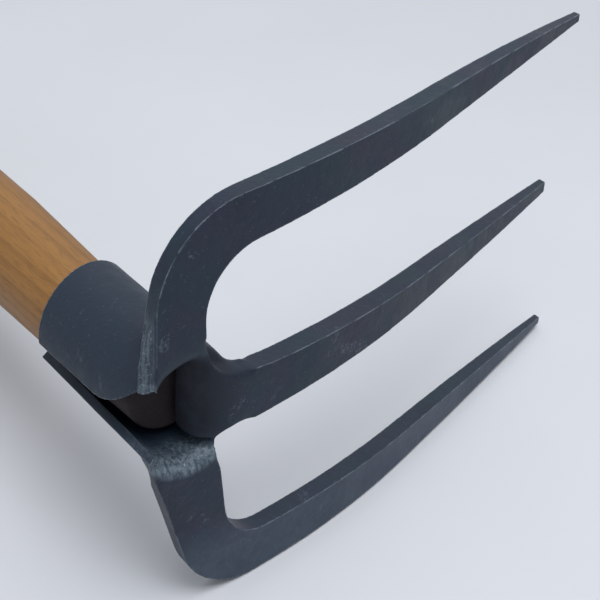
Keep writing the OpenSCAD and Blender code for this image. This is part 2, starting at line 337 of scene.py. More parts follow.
class Effects:
    """Node groups for the effects that several finishes share. Each is built once."""

    def __init__(self) -> None:
        """Starts with no group built."""
        self._built: dict[str, bpy.types.NodeTree] = {}

    def _open(self, name: str, inputs: dict[str, float | None], outputs: Sequence[str]
              ) -> tuple[Sheet, bpy.types.Node, bpy.types.Node]:
        """Makes an empty group.

        Args:
            name: Name of the group.
            inputs: Names of the inputs with their usual values, or None for a vector.
            outputs: Names of the values that it puts out.

        Returns:
            The Sheet of the group, its input node and its output node.
        """
        tree = bpy.data.node_groups.new(name, "ShaderNodeTree")
        for label, value in inputs.items():
            kind = "NodeSocketVector" if value is None else "NodeSocketFloat"
            socket = tree.interface.new_socket(label, in_out="INPUT", socket_type=kind)
            if value is not None:
                socket.default_value = value
        for label in outputs:
            tree.interface.new_socket(label, in_out="OUTPUT", socket_type="NodeSocketFloat")
        self._built[name] = tree
        return Sheet(tree), tree.nodes.new("NodeGroupInput"), tree.nodes.new("NodeGroupOutput")

    def patches(self) -> bpy.types.NodeTree:
        """Soft patches of tone, from 0 to 1.

        Returns:
            The node group.
        """
        name = "Soft patches"
        if name not in self._built:
            sheet, given, out = self._open(name, {"Vector": None, "Scale": 60.0, "Spread": 0.2}, ["Patches"])
            tone = sheet.noise(given.outputs["Vector"], given.outputs["Scale"], 4.0, 0.6)
            low = sheet.math("SUBTRACT", 0.5, given.outputs["Spread"])
            high = sheet.math("ADD", 0.5, given.outputs["Spread"])
            sheet.join(sheet.ramp(tone, low, high), out.inputs["Patches"])
        return self._built[name]

    def rubbed_edges(self) -> bpy.types.NodeTree:
        """Arrises that handling has rubbed bright, broken up along their length.

        Returns:
            The node group.
        """
        name = "Rubbed edges"
        if name not in self._built:
            sheet, given, out = self._open(name, {"Vector": None, "Scale": 150.0, "Bareness": 0.5}, ["Rubbed"])
            edge = sheet.add("Attribute", attribute_name=EDGE_MARK)
            broken = sheet.noise(given.outputs["Vector"], given.outputs["Scale"], 3.0, 0.65)
            bare = sheet.math("SUBTRACT", 1.0, given.outputs["Bareness"])
            low, high = sheet.math("SUBTRACT", bare, 0.22), sheet.math("ADD", bare, 0.22)
            shown = sheet.ramp(broken, low, high, 0.25, 1.0)
            sheet.join(sheet.math("MULTIPLY", edge.outputs["Fac"], shown, clamp=True), out.inputs["Rubbed"])
        return self._built[name]

    def pitted_skin(self) -> bpy.types.NodeTree:
        """A skin with fine grain, flaked patches and pits, with masks of painted glint specks and of scuffs.

        Returns:
            The node group.
        """
        name = "Pitted skin"
        if name not in self._built:
            inputs = {"Vector": None, "Grain": 1800.0, "Flakes": 220.0, "Pits": 420.0}
            sheet, given, out = self._open(name, inputs, ["Height", "Glint specks", "Scuffs"])
            vector = given.outputs["Vector"]
            grain = sheet.noise(vector, given.outputs["Grain"], 3.0, 0.6)
            flakes = sheet.ramp(sheet.noise(vector, given.outputs["Flakes"], 4.0, 0.55), 0.44, 0.58)
            cells = sheet.add("TexVoronoi", feature="F1")
            sheet.feed(cells.inputs["Vector"], vector)
            sheet.feed(cells.inputs["Scale"], given.outputs["Pits"])
            pit = sheet.ramp(cells.outputs["Distance"], 0.05, 0.34)
            height = sheet.math("ADD", sheet.math("MULTIPLY", grain, 0.3), sheet.math("MULTIPLY", flakes, 0.4))
            height = sheet.math("ADD", height, sheet.math("MULTIPLY", pit, 0.3))
            sheet.join(height, out.inputs["Height"])
            # Painted highlights: small bright glint specks.
            glints = sheet.noise(vector, given.outputs["Grain"], 1.0, 0.4)
            lumps = sheet.noise(vector, given.outputs["Pits"], 2.0, 0.5)
            glint_specks = sheet.math("MULTIPLY", sheet.ramp(glints, 0.62, 0.72), sheet.ramp(lumps, 0.5, 0.62))
            sheet.join(glint_specks, out.inputs["Glint specks"])
            wide = sheet.math("MULTIPLY", given.outputs["Pits"], 0.2)
            knocks = sheet.ramp(sheet.noise(vector, wide, 2.0, 0.5), 0.66, 0.74)
            narrow = sheet.math("MULTIPLY", given.outputs["Grain"], 0.5)
            frayed = sheet.ramp(sheet.noise(vector, narrow, 3.0, 0.6), 0.45, 0.62)
            sheet.join(sheet.math("MULTIPLY", knocks, frayed), out.inputs["Scuffs"])
        return self._built[name]

    def torn_and_lit_metal(self) -> bpy.types.NodeTree:
        """Metal that a weld or a file left rough, with its glints. On the mouth's lower lip and inner wall the
        same mark is painted light.

        Returns:
            The node group.
        """
        name = "Torn metal"
        if name not in self._built:
            sheet, given, out = self._open(name, {"Vector": None, "Streaks": 700.0}, ["Torn", "Glints"])
            mark = sheet.add("Attribute", attribute_name=TORN_AND_LIT_MARK).outputs["Fac"]
            drawn = sheet.stretch(given.outputs["Vector"], (1.0, 0.2, 1.0))
            streaks = sheet.ramp(sheet.noise(drawn, given.outputs["Streaks"], 3.0, 0.6), 0.36, 0.64, 0.25, 1.0)
            sheet.join(sheet.math("MULTIPLY", mark, streaks), out.inputs["Torn"])
            fine = sheet.math("MULTIPLY", given.outputs["Streaks"], 1.7)
            sparks = sheet.noise(given.outputs["Vector"], fine, 1.0, 0.5)
            crest = sheet.ramp(mark, 0.6, 1.0)
            sheet.join(sheet.math("MULTIPLY", crest, sheet.ramp(sparks, 0.6, 0.72)), out.inputs["Glints"])
        return self._built[name]


EFFECTS = Effects()


def place_group(sheet: Sheet, tree: bpy.types.NodeTree, vector: object, **values: float) -> bpy.types.Node:
    """Places a shared group in a material with its own values.

    Args:
        sheet: The material's tree.
        tree: The group.
        vector: The coordinates that it reads.
        values: Values of its other inputs.

    Returns:
        The group node.
    """
    node = sheet.add("Group", node_tree=tree)
    sheet.feed(node.inputs["Vector"], vector)
    for name, value in values.items():
        node.inputs[name].default_value = value
    return node


class Finish:
    """A finish of one kind of surface. A subclass writes its nodes."""

    title: str = "finish"

    def material(self) -> bpy.types.Material:
        """Makes the finish's material on its first use.

        Returns:
            The material.
        """
        known = bpy.data.materials.get(self.title)
        if known:
            return known
        made = bpy.data.materials.new(self.title)
        made.use_nodes = True
        sheet = Sheet(made.node_tree)
        surface = made.node_tree.nodes["Principled BSDF"]
        self.write(sheet, surface, self.head_vector(sheet))
        return made

    def head_vector(self, sheet: Sheet) -> bpy.types.NodeSocket:
        """Turns the object's coordinates to the head's own axes.

        Args:
            sheet: The material's tree.

        Returns:
            The coordinates, in metres.
        """
        place = sheet.add("TexCoord").outputs["Object"]
        turn = sheet.add("Mapping", vector_type="POINT")
        back = HEAD.turn().transposed()
        turn.inputs["Rotation"].default_value = back.to_euler("XYZ")
        turn.inputs["Location"].default_value = back @ (Vector(HEAD.origin_mm) * -MM)
        sheet.feed(turn.inputs["Vector"], place)
        return turn.outputs["Vector"]

    def bump(self, sheet: Sheet, surface: bpy.types.Node, height: object,
             depth: float, strength: float) -> None:
        """Gives the surface a relief.

        Args:
            sheet: The material's tree.
            surface: Its shader.
            height: The relief's height, from 0 to 1.
            depth: The height that 1 stands for, in metres.
            strength: How strongly it shows.
        """
        node = sheet.add("Bump")
        node.inputs["Strength"].default_value = strength
        node.inputs["Distance"].default_value = depth
        sheet.feed(node.inputs["Height"], height)
        sheet.join(node.outputs["Normal"], surface.inputs["Normal"])

    def write(self, sheet: Sheet, surface: bpy.types.Node, vector: object) -> None:
        """Writes the finish's nodes, for coordinates along the head's axes."""
        raise NotImplementedError


@dataclass(frozen=True)
class ForgedSteel(Finish):
    """Blue-black forge scale under thin dark paint, with rubbed arrises."""

    title: str = "blue-black forged steel"
    deep: Triple = (0.0045, 0.0105, 0.023)
    pale: Triple = (0.0155, 0.026, 0.046)
    violet: Triple = (0.022, 0.019, 0.043)
    teal: Triple = (0.006, 0.028, 0.038)
    # Painted light colour for the front faces of the head's lower side.
    lit_lower_faces: Triple = (0.055, 0.075, 0.11)
    bare: Triple = (0.14, 0.17, 0.205)
    bareness: float = 0.55
    # Lighter torn and scuffed metal; on the mouth's lower lip and inner wall it is painted light.
    torn_and_lit: Triple = (0.085, 0.115, 0.145)
    glint: Triple = (0.34, 0.40, 0.45)
    # Painted shade colour, laid into the mouth's hollow where shade falls.
    grime_and_shade: Triple = (0.008, 0.0095, 0.0155)
    # Share of the painted glint specks.
    glint_specks: float = 0.1
    shine: float = 0.3
    smoothest: float = 0.38
    roughest: float = 0.56
    relief: float = 0.00012
    relief_strength: float = 0.7
    violet_share: float = 0.5
    teal_share: float = 0.4
    scuff_share: float = 0.6
    glint_share: float = 0.4
    shade_roughness: float = 0.3
    metallic: float = 0.1

    def write(self, sheet: Sheet, surface: bpy.types.Node, vector: object) -> None:
        """Writes the finish's nodes.

        Args:
            sheet: The material's tree.
            surface: Its shader.
            vector: Coordinates along the head's axes.
        """
        broad = place_group(sheet, EFFECTS.patches(), vector, Scale=32.0, Spread=0.16).outputs[0]
        fine = place_group(sheet, EFFECTS.patches(), vector, Scale=190.0, Spread=0.22).outputs[0]
        warm = place_group(sheet, EFFECTS.patches(), vector, Scale=21.0, Spread=0.12).outputs[0]
        cold = place_group(sheet, EFFECTS.patches(), vector, Scale=27.0, Spread=0.1).outputs[0]
        skin = place_group(sheet, EFFECTS.pitted_skin(), vector, Grain=1500.0, Flakes=170.0, Pits=380.0)
        edges = place_group(sheet, EFFECTS.rubbed_edges(), vector, Scale=120.0, Bareness=self.bareness)
        rubbed = edges.outputs["Rubbed"]
        torn_and_lit = place_group(sheet, EFFECTS.torn_and_lit_metal(), vector, Streaks=700.0)
        tone = sheet.math("ADD", sheet.math("MULTIPLY", broad, 0.6), sheet.math("MULTIPLY", fine, 0.4))
        colour = sheet.blend(tone, (*self.deep, 1), (*self.pale, 1))
        colour = sheet.blend(sheet.math("MULTIPLY", warm, self.violet_share), colour, (*self.violet, 1))
        colour = sheet.blend(sheet.math("MULTIPLY", cold, self.teal_share), colour, (*self.teal, 1))
        # Painted light: the front-facing faces of the lower prong and arm are lightened in patches.
        lit_lower_faces = sheet.add("Attribute", attribute_name=LIT_LOWER_MARK).outputs["Fac"]
        lit_lower_faces = sheet.math("MULTIPLY", lit_lower_faces, sheet.ramp(fine, 0.0, 1.0, 0.5, 0.8))
        colour = sheet.blend(lit_lower_faces, colour, (*self.lit_lower_faces, 1))
        colour = sheet.blend(rubbed, colour, (*self.bare, 1))
        # Torn and scuffed metal is lighter; on the lower lip and inner wall of the mouth this is painted light.
        scuffs = sheet.math("MULTIPLY", skin.outputs["Scuffs"], self.scuff_share)
        wear_and_light = sheet.math("MAXIMUM", torn_and_lit.outputs["Torn"], scuffs)
        colour = sheet.blend(wear_and_light, colour, (*self.torn_and_lit, 1))
        # Painted highlights: glint specks over the skin and glints on the weld crests.
        glint_specks = sheet.math("MULTIPLY", skin.outputs["Glint specks"], self.glint_specks)
        glints = sheet.math("MULTIPLY", torn_and_lit.outputs["Glints"], self.glint_share)
        glints = sheet.math("MAXIMUM", glint_specks, glints)
        colour = sheet.blend(glints, colour, (*self.glint, 1))
        # Painted shade: the steel deep in the mouth, at the centre prong's root and on the tube's inner wall,
        # is darkened and made rougher where shade falls.
        hollow_shade = sheet.add("Attribute", attribute_name=SHADE_MARK).outputs["Fac"]
        painted_shade = sheet.math("MULTIPLY", hollow_shade, sheet.ramp(fine, 0.0, 0.6, 0.7, 0.95))
        colour = sheet.blend(painted_shade, colour, (*self.grime_and_shade, 1))
        sheet.join(colour, surface.inputs["Base Color"])
        shine = sheet.ramp(sheet.math("SUBTRACT", tone, sheet.math("MULTIPLY", rubbed, 0.5)), 0.0, 1.0,
                           self.smoothest, self.roughest)
        dull = sheet.math("MULTIPLY", painted_shade, self.shade_roughness)
        sheet.join(sheet.math("ADD", shine, dull), surface.inputs["Roughness"])
        surface.inputs["Metallic"].default_value = self.metallic
        surface.inputs["Specular IOR Level"].default_value = self.shine
        self.bump(sheet, surface, skin.outputs["Height"], self.relief, self.relief_strength)


@dataclass(frozen=True)
class WeldMetal(ForgedSteel):
    """Weld bead under the same thin paint, with a lighter torn colour, which on the mouth's lower lip is
    painted light.
    """

    title: str = "painted weld metal"
    pale: Triple = (0.030, 0.045, 0.066)
    torn_and_lit: Triple = (0.125, 0.165, 0.20)
    relief: float = 0.00022


@dataclass(frozen=True)
class OiledWood(Finish):
    """Sanded and oiled hardwood, its rings and pores running along the handle, with painted shade over its
    front end inside the socket.
    """

    title: str = "oiled golden hardwood"
    early: Triple = (0.265, 0.125, 0.030)
    late: Triple = (0.180, 0.078, 0.017)
    pale: Triple = (0.31, 0.158, 0.042)
    pore: Triple = (0.11, 0.050, 0.015)
    grime_and_shade: Triple = (0.13, 0.064, 0.022)
    # Painted shade colour for the handle's front end inside the socket.
    socket_shade: Triple = (0.0165, 0.0125, 0.0155)
    socket_shade_span: tuple[float, float] = (-0.046, -0.030)
    ring_spacing: float = 0.0042
    ring_drift: float = 3.2
    pith_offset: Triple = (0.031, 0.018, 0.0)
    late_share: float = 0.6
    pale_share: float = 0.5
    pore_share: float = 0.4
    grime_share: float = 0.22
    wear_and_light_share: float = 0.5
    socket_shade_share: float = 0.985
    socket_shade_break: float = 0.006
    socket_shade_roughness: float = 0.35
    smoothest: float = 0.42
    roughest: float = 0.62
    shine: float = 0.38
    relief: float = 0.0001
    relief_strength: float = 0.6

    def write(self, sheet: Sheet, surface: bpy.types.Node, vector: object) -> None:
        """Writes the finish's nodes.

        Args:
            sheet: The material's tree.
            surface: Its shader.
            vector: Coordinates along the head's axes.
        """
        drift = sheet.noise(sheet.stretch(vector, (1.0, 1.0, 0.09)), 34.0, 2.0, 0.5)
        moved = sheet.add("VectorMath", operation="ADD")
        sheet.feed(moved.inputs[0], vector)
        sheet.feed(moved.inputs[1], self.pith_offset)
        flat = sheet.stretch(moved.outputs[0], (1.0, 1.0, 0.0))
        reach = sheet.add("VectorMath", operation="LENGTH")
        sheet.feed(reach.inputs[0], flat)
        age = sheet.math("DIVIDE", reach.outputs["Value"], self.ring_spacing)
        age = sheet.math("ADD", age, sheet.math("MULTIPLY", drift, self.ring_drift))
        ring = sheet.math("FRACT", age)
        drop = sheet.math("SUBTRACT", 1.0, sheet.ramp(ring, 0.93, 1.0))
        wood = sheet.math("MULTIPLY", sheet.ramp(ring, 0.35, 0.93), drop)
        fibres = sheet.noise(sheet.stretch(vector, (1.0, 1.0, 0.022)), 950.0, 3.0, 0.6)
        pores = sheet.noise(sheet.stretch(vector, (1.0, 1.0, 0.05)), 2100.0, 1.0, 0.4)
        drawn = sheet.stretch(vector, (1.0, 1.0, 0.2))
        patches = place_group(sheet, EFFECTS.patches(), drawn, Scale=60.0, Spread=0.22).outputs[0]
        colour = sheet.blend(sheet.math("MULTIPLY", wood, self.late_share), (*self.early, 1), (*self.late, 1))
        bright = sheet.math("MULTIPLY", sheet.ramp(fibres, 0.45, 0.7), self.pale_share)
        colour = sheet.blend(bright, colour, (*self.pale, 1))
        dark = sheet.math("MULTIPLY", sheet.ramp(pores, 0.56, 0.68), self.pore_share)
        colour = sheet.blend(dark, colour, (*self.pore, 1))
        colour = sheet.blend(sheet.math("MULTIPLY", patches, self.grime_share), colour, (*self.grime_and_shade, 1))
        wear_and_light = place_group(sheet, EFFECTS.rubbed_edges(), vector, Scale=90.0, Bareness=0.6).outputs[0]
        colour = sheet.blend(sheet.math("MULTIPLY", wear_and_light, self.wear_and_light_share), colour, (*self.grime_and_shade, 1))
        # Painted shade: the handle's front end inside the socket is darkened almost to black, with a ragged
        # edge, and made rougher.
        along = sheet.add("SeparateXYZ")
        sheet.feed(along.inputs[0], vector)
        height = sheet.math("ADD", along.outputs["Z"], sheet.math("MULTIPLY", patches, self.socket_shade_break))
        shaded_end = sheet.ramp(height, *self.socket_shade_span)
        colour = sheet.blend(sheet.math("MULTIPLY", shaded_end, self.socket_shade_share), colour, (*self.socket_shade, 1))
        sheet.join(colour, surface.inputs["Base Color"])
        shine = sheet.math("ADD", fibres, sheet.math("MULTIPLY", patches, 0.3))
        shine = sheet.ramp(shine, 0.3, 1.0, self.smoothest, self.roughest)
        dull = sheet.math("MULTIPLY", shaded_end, self.socket_shade_roughness)
        sheet.join(sheet.math("ADD", shine, dull), surface.inputs["Roughness"])
        surface.inputs["Specular IOR Level"].default_value = self.shine
        holes = sheet.math("MULTIPLY", sheet.ramp(pores, 0.56, 0.68), 0.5)
        relief = sheet.math("SUBTRACT", sheet.math("MULTIPLY", fibres, 0.5), holes)
        self.bump(sheet, surface, relief, self.relief, self.relief_strength)


@dataclass(frozen=True)
class PaleFloor(Finish):
    """Plain pale floor."""

    title: str = "plain pale floor"
    light: Triple = (0.595, 0.61, 0.655)
    dark: Triple = (0.56, 0.58, 0.615)
    roughness: float = 0.9
    shine: float = 0.1

    def write(self, sheet: Sheet, surface: bpy.types.Node, vector: object) -> None:
        """Writes the finish's nodes.

        Args:
            sheet: The material's tree.
            surface: Its shader.
            vector: Coordinates along the head's axes.
        """
        patches = place_group(sheet, EFFECTS.patches(), vector, Scale=3.0, Spread=0.3).outputs[0]
        sheet.join(sheet.blend(patches, (*self.dark, 1), (*self.light, 1)), surface.inputs["Base Color"])
        surface.inputs["Roughness"].default_value = self.roughness
        surface.inputs["Specular IOR Level"].default_value = self.shine


# Pieces


@dataclass(frozen=True)
class Region:
    """A space round the mouth that belongs to one piece: a plan outline with a floor and a ceiling.

    The plan is in head millimetres. Floor and ceiling are heights over the fork's middle plane,
    which leans by a few degrees.
    """

    outline: tuple[tuple[float, float], ...]
    floor: float
    ceiling: float
    lean_deg: float = LEAN_DEG

    @classmethod
    def ring(cls, inner: float, outer: float, start: float, end: float,
             floor: float, ceiling: float) -> "Region":
        """Returns a stretch of a ring round the handle's line.

        Args:
            inner: Inner radius.
            outer: Outer radius.
            start: Direction in degrees, from the centre prong, where it starts.
            end: Direction where it ends.
            floor: Its lowest height.
            ceiling: Its highest height.

        Returns:
            The region.
        """
        turns = np.radians(np.linspace(start, end, 40))
        out = [(outer * math.cos(a), outer * math.sin(a)) for a in turns]
        back = [(inner * math.cos(a), inner * math.sin(a)) for a in reversed(turns)]
        return cls(tuple(out + back), floor, ceiling)

    @classmethod
    def round(cls, radius: float, floor: float, ceiling: float) -> "Region":
        """Returns a round space on the handle's line, between two heights."""
        turns = np.linspace(0, 2 * math.pi, 120, endpoint=False)
        return cls(tuple((radius * math.cos(a), radius * math.sin(a)) for a in turns), floor, ceiling, 0.0)

    def tool(self) -> bpy.types.Object:
        """Makes a tool to cut with.

        Returns:
            The region as a closed object.
        """
        count = len(self.outline)
        rim = np.array(self.outline)
        turned = np.roll(rim, -1, axis=0)
        if np.sum(rim[:, 0] * turned[:, 1] - rim[:, 1] * turned[:, 0]) < 0:
            rim = rim[::-1]
        points = [(x, y, h) for h in (self.floor, self.ceiling) for x, y in rim.tolist()]
        faces = [(i, (i + 1) % count, (i + 1) % count + count, i + count) for i in range(count)]
        faces += [tuple(reversed(range(count))), tuple(range(count, 2 * count))]
        mesh = bpy.data.meshes.new("region")
        mesh.from_pydata(points, [], faces)
        mesh.transform(Matrix.Rotation(math.radians(self.lean_deg), 4, "Y"))
        return new_object("region", mesh)


def bake_modifiers(piece: bpy.types.Object) -> None:
    """Replaces an object's mesh with what its modifiers make of it.

    Args:
        piece: The object.
    """
    seen = piece.evaluated_get(bpy.context.evaluated_depsgraph_get())
    made = bpy.data.meshes.new_from_object(seen)
    old = piece.data
    piece.modifiers.clear()
    piece.data = made
    bpy.data.meshes.remove(old)


def carve(piece: bpy.types.Object, tool: bpy.types.Object, operation: str) -> None:
    """Cuts an object with another, or joins them, as closed solids.

    Args:
        piece: The object, whose mesh is replaced.
        tool: The other one.
        operation: Blender's name for what is done.
    """
    cut = piece.modifiers.new("cut", "BOOLEAN")
    cut.operation, cut.solver, cut.object = operation, "MANIFOLD", tool
    bake_modifiers(piece)


def discard(*things: bpy.types.Object) -> None:
    """Removes objects and their meshes."""
    for thing in things:
        bpy.data.meshes.remove(thing.data)


def window(values: np.ndarray, rise: tuple[float, float], fall: tuple[float, float]) -> np.ndarray:
    """Weighs values smoothly.

    Args:
        values: The values.
        rise: Where the weight rises from 0 to 1.
        fall: Where it falls to 0 again.

    Returns:
        A weight for each value.
    """
    up = np.clip((values - rise[0]) / (rise[1] - rise[0]), 0, 1)
    down = np.clip((fall[1] - values) / (fall[1] - fall[0]), 0, 1)
    return up * up * (3 - 2 * up) * down * down * (3 - 2 * down)


def climb(values: np.ndarray, low: float, high: float) -> np.ndarray:
    """Returns 0 for values up to low, 1 from high on, and an even slope between them."""
    return np.clip((values - low) / (high - low), 0.0, 1.0)


def ahead() -> np.ndarray:
    """Returns the direction that the face of the fork looks in."""
    lean = math.radians(LEAN_DEG)
    return np.array([math.sin(lean), 0.0, math.cos(lean)])


def around_mouth(points: np.ndarray) -> tuple[np.ndarray, np.ndarray, np.ndarray]:
    """Returns each point's radius and direction round the handle's line, and its height over the fork."""
    radius = np.hypot(points[:, 0], points[:, 1])
    return radius, np.degrees(np.arctan2(points[:, 1], points[:, 0])), points @ ahead()


@dataclass(frozen=True)
class Zone:
    """A soft-edged place on the head, in millimetres and degrees.

    Each span says where the zone's weight rises and where it falls again. A span left out has no edge.
    """

    radius: Span | None = None
    turn: Span | None = None
    x: Span | None = None
    y: Span | None = None
    height: Span | None = None

    def weight(self, points: np.ndarray) -> np.ndarray:
        """Weighs points.

        Args:
            points: One row for each point.

        Returns:
            A weight from 0, outside the zone, to 1 for each.
        """
        radius, turn, height = around_mouth(points)
        measures = (radius, turn, points[:, 0], points[:, 1], height)
        weight = np.ones(len(points))
        for values, span in zip(measures, (self.radius, self.turn, self.x, self.y, self.height)):
            if span is not None:
                weight *= window(values, *span)
        return weight


@dataclass(frozen=True)
class Relief:
    """Unevenness pressed into the skin: its depth, the size of its lumps and the shift of its pattern."""

    depth: float
    size: Triple
    seed: float
    ridged: bool = False

    def at(self, points: np.ndarray) -> np.ndarray:
        """Returns the depth at each point, in millimetres."""
        lumps = perlin(points, self.size, self.seed)
        return self.depth * (2 * np.abs(lumps) if self.ridged else 0.5 + 0.5 * lumps)


@dataclass(frozen=True)
class HeadPart:
    """One piece of the head: its CAD node, its own name, its slot, and the space that it takes of the skin.

    A part without regions takes what the parts before it leave.
    """

    node: str
    name: str
    slot: Slot
    regions: tuple[Region, ...] = ()


@dataclass
class HeadSkin:
    """One even skin over all the steel of the head, which is later parted into its pieces.

    The CAD solids are covered with small faces, so that the welded joints close, and then smoothed,
    blended round the mouth, dented and filed. Sizes are in head millimetres.
    """

    nodes: tuple[str, ...]
    cell: float = 0.62
    swell: float = 0.3
    swell_limit: float = 2.0
    weld_reach: float = 0.002
    sharp_deg: float = 35.0
    arris_step: float = 0.15
    arris_reach: float = 0.9
    even_passes: int = 8
    even_steps: tuple[float, float] = (0.5, -0.52)
    round_passes: int = 1
    blend_passes: int = 60
    bore_r: float = 19.0
    roll_inset: float = 1.5
    face_height: float = 3.4
    arm_roll: float = 8.0
    lip_roll: float = 5.0
    lip_roll_depth: float = 8.0
    root_face: float = 3.8
    root_start: float = 1.0
    root_roll: float = 13.0
    root_roll_depth: float = 6.2
    root_curl: float = 7.5
    root_curl_reach: float = 18.0
    edge_turn: tuple[float, float] = (0.055, 0.125)
    arm_zone: Zone = Zone(turn=((64.0, 76.0), (126.0, 138.0)))
    lip_zone: Zone = Zone(turn=((-142.0, -134.0), (-64.0, -52.0)))
    root_span: Zone = Zone(y=((-18.0, -12.0), (19.0, 24.0)))
    root_heights: Zone = Zone(height=((-14.0, -7.0), (20.0, 30.0)))
    curl_zone: Zone = Zone(radius=((-2.0, -1.0), (17.0, 20.0)))
    blend_zones: tuple[Zone, Zone] = (
        Zone(radius=((14.0, 17.0), (25.0, 31.0)), turn=((-141.0, -132.0), (126.0, 136.0)),
             height=((-14.0, -8.0), (30.0, 40.0))),
        Zone(x=((-4.0, -1.0), (14.0, 20.0)), y=((-20.0, -16.0), (20.0, 26.0)),
             height=((-14.0, -8.0), (30.0, 40.0))),
    )
    # Painted shade in the mouth's hollow: at the centre prong's root and, more weakly, on the tube's inner
    # wall.
    root_shade: Zone = Zone(radius=((-2.0, -1.0), (16.0, 26.0)), x=((-10.0, -2.0), (60.0, 70.0)),
                           y=((-17.0, -9.0), (30.0, 40.0)), height=((-14.0, -7.0), (0.0, 6.5)))
    wall_shade: Zone = Zone(radius=((16.0, 18.0), (19.6, 21.0)), y=((-4.0, 8.0), (30.0, 40.0)),
                           height=((-300.0, -200.0), (-8.0, -2.0)))
    wall_shade_share: float = 0.3
    bead_zone: Zone = Zone(radius=((19.0, 21.0), (22.6, 24.6)), turn=((-142.0, -134.0), (-62.0, -56.0)),
                           height=((-1.5, 1.0), (8.0, 9.0)))
    filed_zone: Zone = Zone(x=((-25.5, -23.5), (-17.0, -15.5)), y=((10.0, 14.0), (40.0, 52.0)),
                            height=((-4.5, -4.0), (3.0, 3.8)))
    hacked_corner: Triple = (-16.5, 14.0, 3.0)
    hacked_reach: Span = ((-2.0, -1.0), (2.5, 6.0))
    # Painted light on the lower lip and inner wall of the mouth, streaked like torn metal.
    lit_wall_zone: Zone = Zone(radius=((17.0, 18.5), (23.5, 26.0)), turn=((-156.0, -140.0), (-70.0, -54.0)),
                           height=((-17.0, -5.0), (3.0, 5.0)))
    wear_and_light_share: float = 0.85
    # Painted light on the front-facing faces of the head's lower side.
    lit_lower_zone: Zone = Zone(y=((-400.0, -300.0), (-70.0, -46.0)))
    lit_lower_facing: tuple[float, float] = (0.6, 0.9)
    hammer: Relief = Relief(0.17, (17.0, 17.0, 17.0), 3.1)
    scale: Relief = Relief(0.05, (2.4, 2.4, 2.4), 7.7)
    crests: Relief = Relief(0.5, (1.9, 1.9, 1.9), 11.3, ridged=True)
    file_marks: Relief = Relief(0.45, (1.1, 14.0, 1.1), 17.9, ridged=True)

    def gather(self) -> bpy.types.Object:
        """Gathers the CAD solids.

        Returns:
            One object with all of them, in head millimetres.
        """
        whole = bmesh.new()
        for node in self.nodes:
            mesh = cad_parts[node].data.copy()
            mesh.transform(HEAD.to_scene().inverted())
            single = bmesh.new()
            single.from_mesh(mesh)
            bmesh.ops.remove_doubles(single, verts=single.verts, dist=self.weld_reach)
            single.to_mesh(mesh)
            single.free()
            whole.from_mesh(mesh)
            bpy.data.meshes.remove(mesh)
        made = bpy.data.meshes.new("solids")
        whole.to_mesh(made)
        whole.free()
        return new_object("solids", made)

    def cover(self) -> tuple[bpy.types.Object, np.ndarray]:
        """Lays the even skin over the solids.

        Returns:
            The skin, and which of its points lie on the solids' sharp edges.
        """
        solids = self.gather()
        skin = new_object("skin", solids.data.copy())
        swollen = bmesh.new()
        swollen.from_mesh(skin.data)
        swollen.normal_update()
        for vertex in swollen.verts:
            vertex.co += vertex.normal * (self.swell * min(vertex.calc_shell_factor(), self.swell_limit))
        swollen.to_mesh(skin.data)
        swollen.free()
        cells = skin.modifiers.new("cells", "REMESH")
        cells.mode, cells.voxel_size = "VOXEL", self.cell
        bake_modifiers(skin)
        set_positions(skin.data, positions(skin.data) - self.swell * normals(skin.data))
        wrap = skin.modifiers.new("wrap", "SHRINKWRAP")
        wrap.target, wrap.wrap_method = solids, "NEAREST_SURFACEPOINT"
        bake_modifiers(skin)
        arris = self.find_arrises(skin.data, solids.data)
        discard(solids)
        return skin, arris

    def find_arrises(self, mesh: bpy.types.Mesh, solids: bpy.types.Mesh) -> np.ndarray:
        """Moves the skin's points that lie nearest to the solids' sharp edges onto them.

        Args:
            mesh: The skin. Its faces are parted where two points across a face lie on a sharp edge.
            solids: The solids.

        Returns:
            Which of the skin's points lie on a sharp edge.
        """
        work = bmesh.new()
        work.from_mesh(solids)
        marks = []
        for edge in work.edges:
            if edge.is_manifold and edge.calc_face_angle() > math.radians(self.sharp_deg):
                start, end = (vertex.co for vertex in edge.verts)
                steps = max(1, round((end - start).length / self.arris_step))
                marks += [start.lerp(end, i / steps) for i in range(steps + 1)]
        work.free()
        tree = KDTree(len(mesh.vertices))
        for vertex in mesh.vertices:
            tree.insert(vertex.co, vertex.index)
        tree.balance()
        found = {}
        for mark in marks:
            _, i, gap = tree.find(mark)
            if gap < min(self.arris_reach * self.cell, found.get(i, (math.inf,))[0]):
                found[i] = (gap, mark)
        for i, (_, mark) in found.items():
            mesh.vertices[i].co = mark
        work = bmesh.new()
        work.from_mesh(mesh)
        for face in list(work.faces):
            on = [vertex.index in found for vertex in face.verts]
            if on in ([True, False, True, False], [False, True, False, True]):
                bmesh.utils.face_split(face, *(vertex for vertex in face.verts if vertex.index in found))
        work.to_mesh(mesh)
        work.free()
        arris = np.zeros(len(mesh.vertices), bool)
        arris[list(found)] = True
        return arris

    def even_out(self, mesh: bpy.types.Mesh, arris: np.ndarray) -> None:
        """Takes the steps out of the skin, along its arrises too, then rounds these a little.

        Args:
            mesh: The skin.
            arris: Which of its points lie on an arris.
        """
        near, along = Neighbours(mesh), Neighbours(mesh, arris)
        held = (arris & (along.degree < 2))[:, None]
        points = positions(mesh)
        for _ in range(self.even_passes):
            for step in self.even_steps:
                mean = np.where(arris[:, None], along.mean(points), near.mean(points))
                points = np.where(held, points, points + step * (mean - points))
        for _ in range(self.round_passes):
            points += 0.5 * (near.mean(points) - points)
        set_positions(mesh, points)

